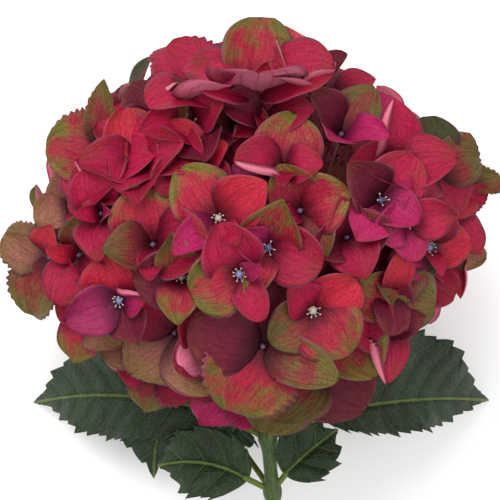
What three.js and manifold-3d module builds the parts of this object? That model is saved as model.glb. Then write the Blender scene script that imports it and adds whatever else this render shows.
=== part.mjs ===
// A cut mophead hydrangea lying on a flat surface: a stalk with two leaf nodes, six leaves, and a head of
// four-sepalled florets that stand on small cymes, which branch from the rays of the stalk's top.
// Millimetres, +Z up. The stalk points along -Y and the crown of the head along +Y. Everything is placed
// from the middle of the head, HEAD_LIFT above the surface, and the finished group is moved so that its
// box stands on the origin.
import * as THREE from "three";
import { mergeVertices } from "three/addons/utils/BufferGeometryUtils.js";
import Module from "manifold-3d";

const wasm = await Module();
wasm.setup();

// ---- driving dimensions ----
const HEAD_WIDTH = 200; // the head across its widest part; floret places are shares of half of it
const HEAD_LIFT = 76; // from the surface up to the middle of the head
const SHELL = [0.9, 0.77, 0.7]; // reach in x, y and z of the floret centres, in half widths
const SHELL_EDGE = 0.03; // the least share of the shell's height squared that a floret stands at
const FACING_TILT = 0.6; // how far a facing floret leans out with the shell, from upright (0) to square (1)
const REACH = 1; // how long the sepals are, as a multiple of each floret's own reach
const SEPAL_THICKNESS = 0.9;
const PEDICEL_RADIUS = 0.8;
const BRANCHLET_RADIUS = 1.1;
const BRANCHLET_STARTS = [0.35, 0.6, 0.85, 1]; // places on a ray's outer half where branchlets may start
const RAY_RADIUS = 1.7;
const RAY_COUNT = 7;
const RAY_RING = 2.6; // radius of the ring of ray roots, in ray radii
const RAY_SPREAD = 0.4; // how far the outer rays' ends stand from the middle ray, in half widths
const RAY_REACH = [0.5, 0.28]; // how far the middle ray and the outer rays run, in half widths
const RAY_SAG = 0.03; // how far a ray bends back on its way, in half widths
const STALK_RADIUS = 2.9;
const STALK_LENGTH = 215; // from the head's underside to the cut
const STALK_SWAY = 11; // how far the cut end stands to the right of the top
const STALK_DROOP = 0.25; // how much of the stalk's fall is a parabola, the rest being straight
const STALK_BENDS = [0.55, 0.8]; // where the stalk's line is taken between the nodes and the cut, as shares
const LEAF_NODES = [41, 63]; // where the leaf pairs stand, below the stalk's top
const NODE_SWELLING = 1.35; // a leaf node's radius over the stalk's
const LEAF_THICKNESS = 0.9;
const LEAF_SIZE = 1; // multiplies the length and width of every leaf blade
const PETIOLE_RADIUS = 1.6;
const BLADE_PROFILE = [0.02, 0.97, 0.8]; // a blade's half width is a sine of (a + b times v) to the power c
const BLADE_END = 0.8; // a blade's half width at its base and tip
const PETIOLE_INSIDE = 0.06; // how far into the blade a petiole runs, as a share of the midrib
const WELD = 0.1; // faces of a finished cyme that lie in one plane within this are joined into one
const GAP = 0.34; // clearance between two pieces that touch
const FILL_SHELL = [0.7, 0.57, 0.7]; // reach of the filling florets' centres, in half widths
const FILL_COUNT = 84; // places of the spiral that fills the sides, back and underside
const FILL_SPACING = 0.22; // no filling floret stands nearer than this to another, in half widths
const FILL_REACH = 22;
const FILL_CUP = 16; // degrees that a filling floret's sepals rise
const PRESSED_CUP = 6; // the same for one that is pressed flat
const FILL_TURN = 137.5; // degrees from one filling floret's spin to the next
const STALK_OPENING = -0.86; // no filling floret stands lower than this share of the shell's y
const PRESSED_BELOW = -0.78; // filling florets lower than this share of the shell lie flat on the surface
const CYME_SPREAD = 0.46; // florets of one cyme stand no further apart, in half widths
const OLIVE_EVERY = 5; // one cyme in this many is olive
const CYME_SIZE = 4; // florets on a full cyme
const CYME_FORK = 0.6; // where a cyme forks, from the stalk's top (0) to its florets (1)

const UNIT = HEAD_WIDTH / 2;
const CROWN = new THREE.Vector3(0.02, -0.45, -0.08).multiplyScalar(UNIT); // the stalk's top

// ---- florets that face up: x, y in hundredths of the half width, lift, lean in x and y, spin of the
// first sepal in degrees, reach in mm, cup in degrees ----
const FACING = [
  [-17, 49, 2, 0, 0.7, 112, 24, 15],
  [-19, 58, -10, 0, 0.5, 112, 19, 12],
  [2, 51, 5, 0, 0.7, 88, 29, 18],
  [11, 63, -10, 0, 0.5, 78, 20, 12],
  [21, 50, 2, 0.1, 0.7, 115, 19, 28],
  [33, 50, -8, 0.1, 0.6, 95, 15, 20],
  [6, 41, 0, 0, 0.1, 80, 18, 25],
  [-5, 38, -8, 0, 0.3, 60, 15, 30],
  [13, 22, 5, 0, 0.1, 84, 20, 18],
  [-22, 37, 0, -0.05, 0.2, 112, 19, 25],
  [-36, 42, -14, -0.1, 0.3, 130, 16, 20],
  [-42, 22, -2, -0.05, 0.3, 105, 21, 30],
  [-37, 26, -8, 0, 0.4, 68, 24, 30],
  [-20, 22, -3, 0, 0, 125, 19, 20],
  [-56, 28, 0, -0.05, 0.1, 168, 24, 15],
  [-57, 4, 5, 0.1, 0, 97, 18, 30],
  [-70, 7, -6, 0.1, 0, 110, 13, 25],
  [-78, -13, 2, 0.1, 0, 165, 21, 10],
  [-66, -12, 0, 0.1, 0, 245, 19, 20],
  [-62, -36, 0, 0, 0.2, 240, 18, 20],
  [-29, -42, -4, 0, 0.3, 225, 24, 0],
  [-42, -42, -8, 0, 0.3, 205, 20, 5],
  [-36, -57, -12, 0, 0.3, 240, 18, 10],
  [-50, -29, 6, 0, 0, 108, 19, 16],
  [-46, -9, -1, 0, 0, 95, 13, 30],
  [-26, -20, 8, 0, 0, 182, 17, 20],
  [-37, -8, 3, 0, 0.1, 95, 24, 18],
  [-12, 2, 5, 0, 0.1, 128, 23, 14],
  [-4, -19, 10, 0, 0, 112, 20, 16],
  [7, -9, 5, 0, 0, 70, 20, 20],
  [19, 5, 1, 0, 0, 115, 20, 20],
  [8, 18, -5, 0, 0, 80, 15, 15],
  [24, -33, 5, 0, 0.1, 38, 21, 15],
  [35, -40, -6, 0, 0.2, 300, 22, 10],
  [50, 9, 5, 0, 0, 55, 20, 20],
  [68, 16, -6, 0, 0, 60, 13, 15],
  [60, 1, 8, 0, 0, 100, 16, 14],
  [69, -9, 1, 0, 0, 5, 19, 12],
  [78, 4, -2, 0, 0, 24, 18, 10],
  [72, 21, 4, -0.1, 0, 112, 20, 12],
  [79, 19, -2, -0.1, 0, 62, 19, 12],
  [54, 21, 0, 0, 0.2, 90, 22, 25],
  [35, 34, 2, 0, 0.4, 60, 18, 32],
  [37, -5, 1, 0, 0, 20, 17, 20],
  [56, -12, -6, 0, 0, 0, 19, 12],
  [54, -27, 0, 0, 0, 350, 20, 15],
  [78, -12, -8, 0, 0, 280, 17, 15],
  [50, -39, -2, 0, 0.3, 280, 22, 15],
  [24, -54, -8, 0, 0.4, 318, 27, 8],
  [14, -60, -10, 0, 0.4, 255, 24, 8],
  [5, -47, 6, 0, 0.3, 248, 29, 8],
  [-8, -64, -12, 0, 0.3, 235, 18, 12],
  [-14, -45, -2, 0, 0.2, 35, 18, 20],
  [46, 36, -14, 0.1, 0.2, 60, 16, 20],
  [4, 24, -12, 0, 0, 20, 16, 20],
  [-30, 9, -10, 0, 0, 60, 16, 20],
  [28, -21, -9, 0, 0, 60, 16, 20],
  [64, -20, -14, 0, 0, 60, 16, 20],
  [-56, 16, -2, 0, 0.1, 55, 17, 22],
];

// ---- leaves: which node the petiole stands on, then the blade's base, bend and tip from that node, the
// half widths right and left of the midrib, how far the margins rise, and whether the tip rests on the
// surface ----
const LEAVES = [
  ["leaf_left", 0, [-21, 10, -4], [-62, 22, -2], [-98, 12, 0], [23, 17], 0.1, true],
  ["leaf_right", 0, [21, 9, -4], [58, 18, -2], [93, 13, 0], [12, 28], 0.1, true],
  ["leaf_left_lower", 1, [-17, 26, -16], [-50, 44, -18], [-49, 3, -38], [23, 17], 0.1, false],
  ["leaf_left_curled", 1, [-10, 5, 4], [-27, 16, 10], [-47, 10, -6], [14, 13], 0.35, false],
  ["leaf_right_lower", 1, [5, 7, 4], [13, 16, 8], [27, 25, -6], [11, 12], 0.3, false],
  ["leaf_under_head", 0, [-8, 9, -2], [-16, 6, -4], [-15, -8, -12], [10, 10], 0.2, false],
];

const mix = (a, b, t) => a.clone().lerp(b, t);

// ---- solids ----

// A three.js geometry as a manifold solid: only positions, shared vertices merged.
function solid(geometry) {
  const g = geometry.clone();
  g.deleteAttribute("normal");
  g.deleteAttribute("uv");
  const merged = mergeVertices(g, 1e-4);
  const vertProperties = new Float32Array(merged.attributes.position.array);
  const triVerts = new Uint32Array(merged.index.array);
  return new wasm.Manifold(new wasm.Mesh({ numProp: 3, vertProperties, triVerts }));
}

const join = (solids) => solids.reduce((a, b) => a.add(b));

// What is left of a solid after its neighbours are cut away: its largest body.
function trimmed(body, neighbours) {
  const cut = neighbours.reduce((a, b) => a.subtract(b), body);
  return cut.decompose().sort((a, b) => b.volume() - a.volume())[0];
}

// A straight rod between two points.
function rod(from, to, radius, sides) {
  const along = to.clone().sub(from);
  const g = new THREE.CylinderGeometry(radius, radius, along.length(), sides);
  const turn = new THREE.Quaternion().setFromUnitVectors(
    new THREE.Vector3(0, 1, 0), along.clone().normalize());
  g.applyQuaternion(turn);
  const middle = mix(from, to, 0.5);
  g.translate(middle.x, middle.y, middle.z);
  return solid(g);
}

// A curved rod: a regular polygon carried along a smooth curve.
function bentRod(points, radius, sides, steps) {
  const corners = Array.from({ length: sides }, (_, i) => {
    const a = (2 * Math.PI * i) / sides;
    return new THREE.Vector2(radius * Math.cos(a), radius * Math.sin(a));
  });
  const extrudePath = new THREE.CatmullRomCurve3(points);
  const shape = new THREE.Shape(corners);
  return solid(new THREE.ExtrudeGeometry(shape, { steps, extrudePath, bevelEnabled: false }));
}

// ---- florets ----

// Height of the shell of floret centres above a place in x and y, both in half widths.
function shellHeight(x, y) {
  const inside = 1 - (x / SHELL[0]) ** 2 - (y / SHELL[1]) ** 2;
  return SHELL[2] * Math.sqrt(Math.max(inside, SHELL_EDGE));
}

// A floret's centre, axis and first sepal's direction. The axis is the shell's normal, brought back
// towards the vertical by tilt, then leant over.
function floret(x, y, z, tilt, lift, leanX, leanY, spin, reach, cup) {
  const axis = new THREE.Vector3(
    (tilt * x) / SHELL[0] ** 2 + leanX, (tilt * y) / SHELL[1] ** 2 + leanY, z / SHELL[2] ** 2);
  axis.normalize();
  const turn = THREE.MathUtils.degToRad(spin);
  const first = new THREE.Vector3(Math.cos(turn), Math.sin(turn), 0);
  first.addScaledVector(axis, -first.dot(axis)).normalize();
  const place = new THREE.Vector3(x, y, z + lift / 100);
  const centre = place.clone().multiplyScalar(UNIT);
  return { place, centre, axis, first, second: axis.clone().cross(first), reach: reach * REACH, cup };
}

// Filling florets stand on a golden-angle spiral over the whole shell, wherever the facing florets
// and the stalk leave room, and those underneath are pressed flat by the surface.
function fillingFlorets(taken) {
  const golden = Math.PI * (3 - Math.sqrt(5));
  const found = [];
  for (let i = 0; i < FILL_COUNT; i++) {
    const z = 1 - (2 * i + 1) / FILL_COUNT;
    const ring = Math.sqrt(1 - z * z);
    const x = ring * Math.cos(golden * i);
    const y = ring * Math.sin(golden * i);
    const at = new THREE.Vector3(x * FILL_SHELL[0], y * FILL_SHELL[1], z * FILL_SHELL[2]);
    const crowded = taken.some((f) => f.place.distanceTo(at) < FILL_SPACING);
    if (crowded || y < STALK_OPENING) continue;
    const pressed = z < PRESSED_BELOW;
    const cup = pressed ? PRESSED_CUP : FILL_CUP;
    const made = floret(at.x, at.y, at.z, 1, 0, 0, 0, FILL_TURN * i, FILL_REACH, cup);
    if (pressed) {
      made.axis.set(0, 0, -1);
      made.first.set(Math.cos(i), Math.sin(i), 0);
      made.second = made.axis.clone().cross(made.first);
    }
    settle(made);
    found.push(made);
  }
  return found;
}

// Lifts a floret until its lowest sepal tip rests on the surface.
function settle(f) {
  const slope = Math.tan(THREE.MathUtils.degToRad(f.cup));
  const sunk = f.reach * (Math.hypot(f.first.z, f.second.z) - f.axis.z * slope) + SEPAL_THICKNESS / 2;
  f.centre.z = Math.max(f.centre.z, sunk - HEAD_LIFT);
}

// The four sepals of a floret as one cupped, four-lobed plate: a flat disc of twelve sides whose rim
// is drawn in to the notches and out to the lobes, and raised with its distance from the centre.
const RIM = [[-45, 0.5], [-22, 0.98], [22, 0.98]]; // degrees from a sepal's line, share of reach

function sepals(f, grow) {
  const g = new THREE.CylinderGeometry(1, 1, 1, 4 * RIM.length);
  const position = g.attributes.position;
  const slope = Math.tan(THREE.MathUtils.degToRad(f.cup));
  for (let i = 0; i < position.count; i++) {
    const px = position.getX(i);
    const pz = position.getZ(i);
    const side = Math.sign(position.getY(i)) * (SEPAL_THICKNESS / 2 + grow);
    const onRim = Math.hypot(px, pz) > 0.5;
    const turn = Math.atan2(px, pz) / (2 * Math.PI) + 1;
    const corner = Math.round(turn * 4 * RIM.length) % (4 * RIM.length);
    const [degrees, share] = RIM[corner % RIM.length];
    const angle = THREE.MathUtils.degToRad(90 * Math.floor(corner / RIM.length) + degrees);
    const out = onRim ? share * f.reach + grow : 0;
    const at = f.centre.clone()
      .addScaledVector(f.first, out * Math.cos(angle))
      .addScaledVector(f.second, out * Math.sin(angle))
      .addScaledVector(f.axis, out * slope + side);
    position.setXYZ(i, at.x, at.y, at.z);
  }
  return solid(g);
}

// Florets gathered into cymes: each takes its nearest free neighbours.
function gathered(florets) {
  const free = [...florets];
  const cymes = [];
  while (free.length) {
    const cyme = [free.shift()];
    while (cyme.length < CYME_SIZE) {
      const near = free
        .map((f) => [Math.max(...cyme.map((c) => c.place.distanceTo(f.place))), f])
        .sort((a, b) => a[0] - b[0])[0];
      if (!near || near[0] > CYME_SPREAD) break;
      cyme.push(near[1]);
      free.splice(free.indexOf(near[1]), 1);
    }
    cymes.push(cyme);
  }
  return cymes;
}

const facing = FACING.map(([px, py, ...pose]) => {
  const x = px / 100;
  const y = py / 100;
  return floret(x, y, shellHeight(x, y), FACING_TILT, ...pose);
});
const cymes = gathered([...facing, ...fillingFlorets(facing)]);

// ---- stalk, rays and leaves ----
// A point of the stalk's line, a distance below its top. It falls from the head to the surface.
function stalkPoint(down) {
  const t = down / STALK_LENGTH;
  const fall = CROWN.z + HEAD_LIFT - STALK_RADIUS;
  const x = CROWN.x + STALK_SWAY * (1 - (1 - t) ** 3);
  const sunk = fall * ((1 - STALK_DROOP) * t + STALK_DROOP * t * t);
  return new THREE.Vector3(x, CROWN.y - down, CROWN.z - sunk);
}

const bends = STALK_BENDS.map((share) => share * STALK_LENGTH);
const stalkPath = [0, ...LEAF_NODES, ...bends, STALK_LENGTH].map(stalkPoint);

function stalk(grow) {
  const swellings = LEAF_NODES.map((down) => {
    const g = new THREE.SphereGeometry(STALK_RADIUS * NODE_SWELLING + grow, 8, 5);
    return solid(g.translate(...stalkPoint(down)));
  });
  return join([bentRod(stalkPath, STALK_RADIUS + grow, 8, 10), ...swellings]);
}

// Rays spread round the stalk's line from just above its top, like the ribs of an umbrella.
const rayRoot = (k) => {
  const a = (2 * Math.PI * k) / RAY_COUNT;
  const ring = k === 0 ? 0 : RAY_RADIUS * RAY_RING;
  return new THREE.Vector3(ring * Math.cos(a), RAY_RADIUS + GAP, ring * Math.sin(a)).add(CROWN);
};
const rayEnd = (k) => {
  const a = (2 * Math.PI * k) / RAY_COUNT;
  const ring = k === 0 ? 0 : RAY_SPREAD * UNIT;
  const out = RAY_REACH[k === 0 ? 0 : 1] * UNIT;
  return new THREE.Vector3(ring * Math.cos(a), out, ring * Math.sin(a)).add(CROWN);
};
const rayLine = Array.from({ length: RAY_COUNT }, (_, k) => {
  const bend = mix(rayRoot(k), rayEnd(k), 0.5);
  bend.y -= RAY_SAG * UNIT;
  return [rayRoot(k), bend, rayEnd(k)];
});
const ray = (k, grow) => bentRod(rayLine[k], RAY_RADIUS + grow, 6, 5);

// A leaf blade is a flat bar of four by eight cells drawn along its midrib, pinched at both ends and
// folded up at the margins. Its petiole runs from the stalk to the blade's base.
function leaf([, node, base, bend, tip, halves, fold, rests], grow) {
  const root = stalkPoint(LEAF_NODES[node]);
  const start = root.clone().add(new THREE.Vector3(...base));
  const [over, end] = [bend, tip].map((p) =>
    new THREE.Vector3(p[0] - base[0], p[1] - base[1], p[2] - base[2]).multiplyScalar(LEAF_SIZE).add(start));
  if (rests) end.z = LEAF_THICKNESS + GAP - HEAD_LIFT;
  const midrib = new THREE.QuadraticBezierCurve3(start, over, end);
  const g = new THREE.BoxGeometry(2, 1, 1, 4, 8, 1);
  const position = g.attributes.position;
  for (let i = 0; i < position.count; i++) {
    const across = position.getX(i);
    const along = position.getY(i) + 0.5;
    const side = Math.sign(position.getZ(i)) * (LEAF_THICKNESS / 2 + grow);
    const tangent = midrib.getTangent(along);
    const sideways = new THREE.Vector3(tangent.y, -tangent.x, 0).normalize();
    const up = sideways.clone().cross(tangent).normalize();
    const width = halves[across > 0 ? 0 : 1] * LEAF_SIZE;
    const taken = BLADE_PROFILE[0] + along * BLADE_PROFILE[1];
    const profile = Math.sin(Math.PI * Math.pow(taken, BLADE_PROFILE[2]));
    const half = width * profile + BLADE_END + grow;
    const at = midrib.getPoint(along)
      .addScaledVector(sideways, across * half)
      .addScaledVector(up, side + Math.abs(across) * half * fold);
    position.setXYZ(i, at.x, at.y, at.z);
  }
  const inBlade = midrib.getPoint(PETIOLE_INSIDE);
  return join([solid(g), rod(root, inBlade, PETIOLE_RADIUS + grow, 6)]);
}

// ---- cymes ----
// A cyme forks between the stalk's top and its florets. Its branchlet starts beside the ray that passes
// nearest to the fork, and a pedicel runs from the fork to each floret.
function stems(cyme, grow) {
  const middle = new THREE.Vector3();
  cyme.forEach((f) => middle.addScaledVector(f.centre, 1 / cyme.length));
  const fork = mix(CROWN, middle, CYME_FORK);
  const starts = rayLine.flatMap(([, bend, end]) => BRANCHLET_STARTS.map((t) => mix(bend, end, t)));
  const start = starts.sort((a, b) => a.distanceTo(fork) - b.distanceTo(fork))[0];
  const pedicels = cyme.map((f) => rod(fork, f.centre, PEDICEL_RADIUS + grow, 3));
  return join([rod(start, fork, BRANCHLET_RADIUS + grow, 4), ...pedicels]);
}

const blades = (cyme, grow) => join(cyme.map((f) => sepals(f, grow)));

// ---- assembly: what comes first keeps its shape, and what comes later is cut back from it ----
const group = new THREE.Group();

const finish = (color, roughness) => new THREE.MeshStandardMaterial({ color, roughness, metalness: 0 });
const looks = {
  stalk: () => finish(0x5d7a3a, 0.6),
  ray: () => finish(0x9a4a5c, 0.6),
  leaf: () => finish(0x27431f, 0.45),
  crimson: () => finish(0xa81e38, 0.55),
  olive: () => finish(0x6d6a2a, 0.55),
};

function add(name, body, material) {
  const { numProp, vertProperties, triVerts } = body.getMesh();
  const positions = new Float32Array((vertProperties.length / numProp) * 3);
  for (let i = 0; i < positions.length / 3; i++) {
    positions.set(vertProperties.subarray(i * numProp, i * numProp + 3), i * 3);
  }
  const g = new THREE.BufferGeometry();
  g.setAttribute("position", new THREE.BufferAttribute(positions, 3));
  g.setIndex(new THREE.BufferAttribute(new Uint32Array(triVerts), 1));
  g.computeVertexNormals();
  const mesh = new THREE.Mesh(g, material);
  mesh.name = name;
  group.add(mesh);
}

const wood = [];
add("stalk", stalk(0), looks.stalk());
wood.push(stalk(GAP));

for (let k = 0; k < RAY_COUNT; k++) {
  add(`ray_${k + 1}`, trimmed(ray(k, 0), wood), looks.ray());
  wood.push(ray(k, GAP));
}
for (const spec of LEAVES) {
  add(spec[0], trimmed(leaf(spec, 0), wood), looks.leaf());
  wood.push(leaf(spec, GAP));
}

const thickStems = cymes.map((cyme) => stems(cyme, GAP));
const thickBlades = cymes.map((cyme) => blades(cyme, GAP));
cymes.forEach((cyme, i) => {
  const otherStems = thickStems.filter((_, j) => j !== i);
  const own = trimmed(stems(cyme, 0), [...wood, ...thickStems.slice(0, i)]);
  const petals = [...wood, ...otherStems, ...thickBlades.slice(0, i)]
    .reduce((a, b) => a.subtract(b), blades(cyme, 0));
  const whole = trimmed(own.add(petals).asOriginal().simplify(WELD), []);
  add(`cyme_${String(i + 1).padStart(2, "0")}`, whole, i % OLIVE_EVERY ? looks.crimson() : looks.olive());
});

const box = new THREE.Box3().setFromObject(group);
const middle = box.getCenter(new THREE.Vector3());
group.position.set(-middle.x, -middle.y, -box.min.z);

export default group;
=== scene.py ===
import math

import bpy
import numpy as np
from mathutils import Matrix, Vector


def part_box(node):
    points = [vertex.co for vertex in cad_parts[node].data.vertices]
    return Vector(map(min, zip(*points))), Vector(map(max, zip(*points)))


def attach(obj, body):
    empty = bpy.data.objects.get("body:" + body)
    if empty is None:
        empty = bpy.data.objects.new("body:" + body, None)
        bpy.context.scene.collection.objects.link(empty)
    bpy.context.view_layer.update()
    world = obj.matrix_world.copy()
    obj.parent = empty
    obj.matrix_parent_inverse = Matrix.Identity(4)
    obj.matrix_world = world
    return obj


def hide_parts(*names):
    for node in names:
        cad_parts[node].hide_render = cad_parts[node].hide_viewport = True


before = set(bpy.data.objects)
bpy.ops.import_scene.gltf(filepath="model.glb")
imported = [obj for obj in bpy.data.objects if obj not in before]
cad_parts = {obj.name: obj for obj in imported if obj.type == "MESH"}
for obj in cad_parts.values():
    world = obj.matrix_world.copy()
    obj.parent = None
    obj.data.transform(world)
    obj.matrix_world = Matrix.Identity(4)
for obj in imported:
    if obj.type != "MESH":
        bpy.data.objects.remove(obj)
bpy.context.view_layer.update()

# ---- The stalk ----
# One woody green stem, faintly ridged, with a swollen ring at each pair of leaves. It was cut straight
# across, so its end shows a pale ring of wood round a white pith. The flower lies on its side: the stalk
# runs along -Y from the crown, which is the top of the stalk, and the head lies along +Y.
MM = 0.001
HALF_HEAD = 100 * MM
# from the middle of the head to the crown
CROWN = np.array([0.02, -0.45, -0.08]) * HALF_HEAD
# The first ray runs straight on from the crown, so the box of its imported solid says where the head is.
MIDDLE_RAY_REACH = 0.5 * HALF_HEAD
ray_low, ray_high = (np.array(corner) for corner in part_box("ray_1"))
ray_middle = (ray_low + ray_high) / 2
HEAD = np.array([ray_middle[0], ray_high[1] - MIDDLE_RAY_REACH, ray_middle[2]]) - CROWN
STALK_LENGTH = 215 * MM
STALK_RADIUS = 2.9 * MM
STALK_SWAY = 11 * MM
FALL_BEND = 0.25
STALK_TAPER = 0.06
LEAF_NODES = (41 * MM, 63 * MM)
# The swelling and the groove at a leaf node, and the ridges, are in shares of the stalk's radius.
NODE_SWELL = 0.42
NODE_LENGTH = 3.4 * MM
NODE_GROOVE = 0.05
GROOVE_LENGTH = 0.7 * MM
RIDGES = 6
RIDGE_TWIST = 9
RIDGE_DEPTH = 0.022
# The rings that close the cut end are in shares of the last radius. The last two lie on the pith.
CUT_RINGS = (0.97, 0.9, 0.5, 0.42, 0.2)
PITH_RINGS = 2
STALK_RINGS = 150
STALK_SIDES = 28


def unit(vectors):
    """Each vector divided by its own length."""
    return vectors / np.linalg.norm(vectors, axis=-1, keepdims=True)


def stalk_point(down):
    """Points on the stalk's line: straight down its length along -Y, aside by a cubic of the share gone,
    and down to the table by a parabola of it."""
    t = np.asarray(down) / STALK_LENGTH
    fall = CROWN[2] + HEAD[2] - STALK_RADIUS
    x = CROWN[0] + STALK_SWAY * (1 - (1 - t) ** 3)
    z = CROWN[2] - fall * ((1 - FALL_BEND) * t + FALL_BEND * t * t)
    return np.stack([x, CROWN[1] - t * STALK_LENGTH, z], axis=-1) + HEAD


def surface(name, points, faces, material, marks=None):
    """A smooth mesh object from an array of points and a list of face arrays. Each mark is a value or a
    colour for every point, which the material reads."""
    mesh = bpy.data.meshes.new(name)
    corners = np.concatenate([part.ravel() for part in faces])
    sizes = np.concatenate([np.full(len(part), part.shape[1]) for part in faces])
    mesh.vertices.add(len(points))
    mesh.vertices.foreach_set("co", points.astype(np.float32).ravel())
    mesh.loops.add(len(corners))
    mesh.loops.foreach_set("vertex_index", corners.astype(np.int32))
    mesh.polygons.add(len(sizes))
    mesh.polygons.foreach_set("loop_start", np.concatenate([[0], np.cumsum(sizes)[:-1]]).astype(np.int32))
    mesh.polygons.foreach_set("use_smooth", np.full(len(sizes), True))
    mesh.update(calc_edges=True)
    for mark, values in (marks or {}).items():
        if values.ndim == 1:
            layer = mesh.attributes.new(mark, "FLOAT", "POINT")
            layer.data.foreach_set("value", values.astype(np.float32))
        else:
            layer = mesh.attributes.new(mark, "FLOAT_COLOR", "POINT")
            rgba = np.column_stack([values, np.ones(len(values))])
            layer.data.foreach_set("color", rgba.astype(np.float32).ravel())
    mesh.materials.append(material)
    piece = bpy.data.objects.new(name, mesh)
    bpy.context.scene.collection.objects.link(piece)
    return piece


def tube(path, radii, sides, directions=None):
    """Points and faces of rings carried along a path, each square to its direction, with radii by ring
    or by ring and side. A point closes each end."""
    along = unit(np.gradient(path, axis=0)) if directions is None else directions
    across = unit(np.cross(along, [0.13, 0.21, 1.0]))
    up = np.cross(across, along)
    turn = np.linspace(0, 2 * np.pi, sides, endpoint=False)
    radii = np.asarray(radii)
    radii = radii[:, None] if radii.ndim == 1 else radii
    aside = (np.cos(turn) * radii)[..., None] * across[:, None]
    raised = (np.sin(turn) * radii)[..., None] * up[:, None]
    rings = path[:, None] + (aside + raised)
    count = len(path)
    points = np.concatenate([rings.reshape(-1, 3), path[:1], path[-1:]])
    index = np.arange(count * sides).reshape(count, sides)
    after = np.roll(index, -1, axis=1)
    walls = np.stack([index[:-1], index[1:], after[1:], after[:-1]], axis=-1).reshape(-1, 4)
    first = np.stack([np.full(sides, count * sides), index[0], after[0]], axis=-1)
    last = np.stack([np.full(sides, count * sides + 1), after[-1], index[-1]], axis=-1)
    return points, [walls, first, last]


def rgb(red, green, blue):
    """A screen colour in 0 to 255, as the linear colour that the shaders use."""
    c = np.array([red, green, blue]) / 255
    return np.where(c <= 0.04045, c / 12.92, ((c + 0.055) / 1.055) ** 2.4)


def new_material(name, roughness, specular):
    """A material with a Principled shader; values that are the same all over are set on it."""
    material = bpy.data.materials.new(name)
    material.use_nodes = True
    shader = material.node_tree.nodes["Principled BSDF"]
    shader.inputs["Roughness"].default_value = roughness
    shader.inputs["Specular IOR Level"].default_value = specular
    return material, shader


def node(tree, kind, inputs=None, **settings):
    """A shader node with its settings made and each named input linked or filled."""
    made = tree.nodes.new(kind)
    for key, value in settings.items():
        setattr(made, key, value)
    for key, value in (inputs or {}).items():
        if isinstance(value, bpy.types.NodeSocket):
            tree.links.new(value, made.inputs[key])
        elif isinstance(value, np.ndarray):
            made.inputs[key].default_value = (*value, 1.0)
        else:
            made.inputs[key].default_value = value
    return made


def calc(tree, operation, a, b=0.0):
    """One step of arithmetic on values or sockets."""
    return node(tree, "ShaderNodeMath", {0: a, 1: b}, operation=operation).outputs[0]


def fade(tree, value, low, high, start=0.0, end=1.0):
    """A smooth step of value from start at low to end at high."""
    made = node(tree, "ShaderNodeMapRange", {0: value, 1: low, 2: high, 3: start, 4: end},
                interpolation_type="SMOOTHSTEP")
    return made.outputs[0]


def mixed(tree, share, a, b, blend="MIX"):
    """Colour a turned into colour b by share, or blended with it in another way."""
    return node(tree, "ShaderNodeMix", {0: share, 6: a, 7: b}, data_type="RGBA", blend_type=blend).outputs[2]


def mark_of(tree, name, colour=False):
    """A value or colour that the mesh carries."""
    made = node(tree, "ShaderNodeAttribute", attribute_name=name)
    return made.outputs["Color" if colour else "Fac"]


def noise(tree, scale, detail, place=None):
    """Soft noise, in features per metre of object space unless it is given another place."""
    if place is None:
        place = node(tree, "ShaderNodeTexCoord").outputs["Object"]
    made = node(tree, "ShaderNodeTexNoise", {"Vector": place, "Scale": scale, "Detail": detail})
    return made.outputs["Fac"]


def relief(tree, shader, height, strength, depth):
    """Bumps the shader's normal by a height."""
    bump = node(tree, "ShaderNodeBump", {"Height": height, "Strength": strength, "Distance": depth})
    tree.links.new(bump.outputs["Normal"], shader.inputs["Normal"])


def stalk_material():
    """Green bark: fine lengthwise streaks, brown-red lenticels, and a pale cut."""
    material, shader = new_material("stalk_bark", 0.5, 0.4)
    tree = material.node_tree
    place = node(tree, "ShaderNodeTexCoord").outputs["Object"]
    drawn = node(tree, "ShaderNodeMapping", {"Vector": place, "Scale": (1.0, 0.08, 1.0)}).outputs[0]
    streaks = noise(tree, 1500.0, 4.0, drawn)
    blotches = noise(tree, 90.0, 3.0)
    bark = mixed(tree, fade(tree, streaks, 0.35, 0.65), rgb(44, 66, 24), rgb(72, 96, 38))
    bark = mixed(tree, fade(tree, blotches, 0.5, 0.75, 0.0, 0.5), bark, rgb(70, 66, 36))
    spots = node(tree, "ShaderNodeTexVoronoi", {"Vector": place, "Scale": 420.0}).outputs["Distance"]
    bark = mixed(tree, fade(tree, spots, 0.12, 0.24, 0.75, 0.0), bark, rgb(72, 34, 26))
    cut = mixed(tree, mark_of(tree, "pith"), rgb(176, 182, 120), rgb(232, 230, 204))
    tree.links.new(mixed(tree, mark_of(tree, "cut"), bark, cut), shader.inputs["Base Color"])
    relief(tree, shader, calc(tree, "ADD", streaks, calc(tree, "MULTIPLY", spots, 0.5)), 0.5, 0.0004)
    return material


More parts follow.
